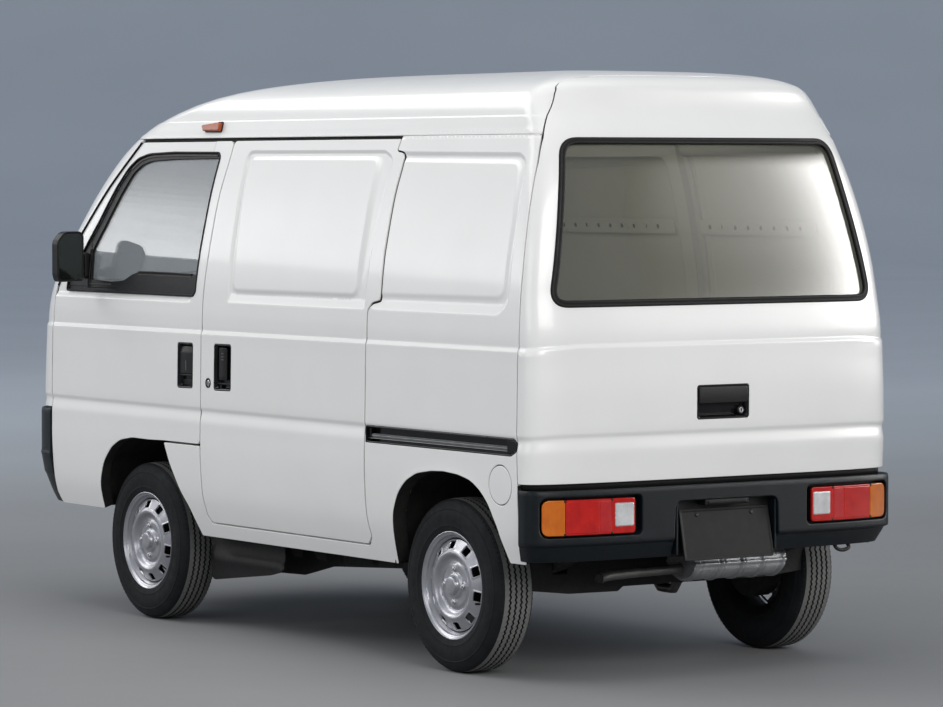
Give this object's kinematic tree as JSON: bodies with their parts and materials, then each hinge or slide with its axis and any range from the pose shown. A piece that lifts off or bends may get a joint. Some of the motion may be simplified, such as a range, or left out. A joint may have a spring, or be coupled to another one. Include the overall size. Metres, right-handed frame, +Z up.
{
  "type": "microvan",
  "caption": "Small one-box cargo van with a raised roof, hinged cab doors, sliding load doors, a top-hung tailgate and steered front wheels.",
  "frame": {"origin": "on the ground under the middle of the body", "axes": "+X forward along the length, +Y to the left side, +Z up"},
  "size_m": [3.2944, 1.66, 1.8598],
  "materials": {
    "body_paint": "gloss white",
    "door_paint": "gloss white",
    "clear_glass": "clear, faint green",
    "tinted_glass": "bronze tint",
    "bumper_plastic": "dark blue-grey, fine grain",
    "black_trim": "satin black",
    "headlamp_lens": "clear lens",
    "tail_lens": "red, amber and clear lens",
    "plate": "blank dark plate",
    "tyre": "ribbed tread",
    "wheel_steel": "silver lacquer",
    "chassis_iron": "black underbody coat",
    "exhaust_steel": "dull aluminised steel",
    "seat_cloth": "woven cloth",
    "dash_plastic": "grained"
  },
  "bodies": {
    "root": {"roof_panel": "body_paint", "side_panel_left": "body_paint", "side_panel_right": "body_paint", "front_panel": "body_paint", "floor_pan": "body_paint", "windscreen": "clear_glass", "front_bumper": "bumper_plastic", "rear_bumper": "bumper_plastic", "headlamp_left": "headlamp_lens", "headlamp_right": "headlamp_lens", "tail_lamp_left": "tail_lens", "tail_lamp_right": "tail_lens", "plate_front": "plate", "plate_rear": "plate", "sliding_door_left": "door_paint", "sliding_door_right": "door_paint", "chassis_frame": "chassis_iron", "front_suspension": "chassis_iron", "rear_axle": "chassis_iron", "engine_block": "chassis_iron", "fuel_tank": "chassis_iron", "exhaust": "exhaust_steel", "seat_left": "seat_cloth", "seat_right": "seat_cloth", "dashboard": "dash_plastic"},
    "door_front_left": {"front_door_left": "door_paint", "door_glass_left": "clear_glass", "mirror_left": "black_trim"},
    "door_front_right": {"front_door_right": "door_paint", "door_glass_right": "clear_glass", "mirror_right": "black_trim"},
    "gate": {"tailgate": "door_paint", "tailgate_glass": "tinted_glass"},
    "filler_lid": {"fuel_lid": "door_paint"},
    "steer_left": {"knuckle_left": "chassis_iron"},
    "steer_right": {"knuckle_right": "chassis_iron"},
    "wheel_front_left": {"tyre_front_left": "tyre", "rim_front_left": "wheel_steel"},
    "wheel_front_right": {"tyre_front_right": "tyre", "rim_front_right": "wheel_steel"},
    "wheel_rear_left": {"tyre_rear_left": "tyre", "rim_rear_left": "wheel_steel"},
    "wheel_rear_right": {"tyre_rear_right": "tyre", "rim_rear_right": "wheel_steel"},
    "hand_wheel": {"steering_wheel": "black_trim"}
  },
  "joints": [
    {"name": "door_front_left_hinge", "type": "hinge", "parent": "root", "child": "door_front_left", "pos_m": [1.3825, 0.7, 0.9], "axis": [0, 0, -1], "range_deg": [0, 66]},
    {"name": "door_front_right_hinge", "type": "hinge", "parent": "root", "child": "door_front_right", "pos_m": [1.3825, -0.7, 0.9], "axis": [0, 0, 1], "range_deg": [0, 66]},
    {"name": "tailgate_hinge", "type": "hinge", "parent": "root", "child": "gate", "pos_m": [-1.39, 0, 1.842], "axis": [0, 1, 0], "range_deg": [0, 82]},
    {"name": "fuel_lid_hinge", "type": "hinge", "parent": "root", "child": "filler_lid", "pos_m": [-1.379, 0.699, 0.602], "axis": [0, 0, -1], "range_deg": [0, 100]},
    {"name": "steer_left_axis", "type": "hinge", "parent": "root", "child": "steer_left", "pos_m": [0.784, 0.52556, 0.27], "axis": [0, -0.2375, 0.9714], "range_deg": [-34, 34]},
    {"name": "steer_right_axis", "type": "hinge", "parent": "root", "child": "steer_right", "pos_m": [0.784, -0.52556, 0.27], "axis": [0, 0.2375, 0.9714], "range_deg": [-34, 34]},
    {"name": "hand_wheel_turn", "type": "hinge", "parent": "root", "child": "hand_wheel", "pos_m": [1.035, -0.325, 1.02], "axis": [-0.6073, 0, 0.7944], "range_deg": [-510, 510]},
    {"name": "spin_front_left", "type": "hinge", "parent": "steer_left", "child": "wheel_front_left", "pos_m": [0.784, 0.5825, 0.27], "axis": [0, 1, 0], "continuous": true},
    {"name": "spin_front_right", "type": "hinge", "parent": "steer_right", "child": "wheel_front_right", "pos_m": [0.784, -0.5825, 0.27], "axis": [0, 1, 0], "continuous": true},
    {"name": "spin_rear_left", "type": "hinge", "parent": "root", "child": "wheel_rear_left", "pos_m": [-1.107, 0.5825, 0.27], "axis": [0, 1, 0], "continuous": true},
    {"name": "spin_rear_right", "type": "hinge", "parent": "root", "child": "wheel_rear_right", "pos_m": [-1.107, -0.5825, 0.27], "axis": [0, 1, 0], "continuous": true}
  ],
  "couplings": [
    {"joint": "steer_right_axis", "follows": "steer_left_axis", "ratio": 1},
    {"joint": "hand_wheel_turn", "follows": "steer_left_axis", "ratio": 15}
  ]
}
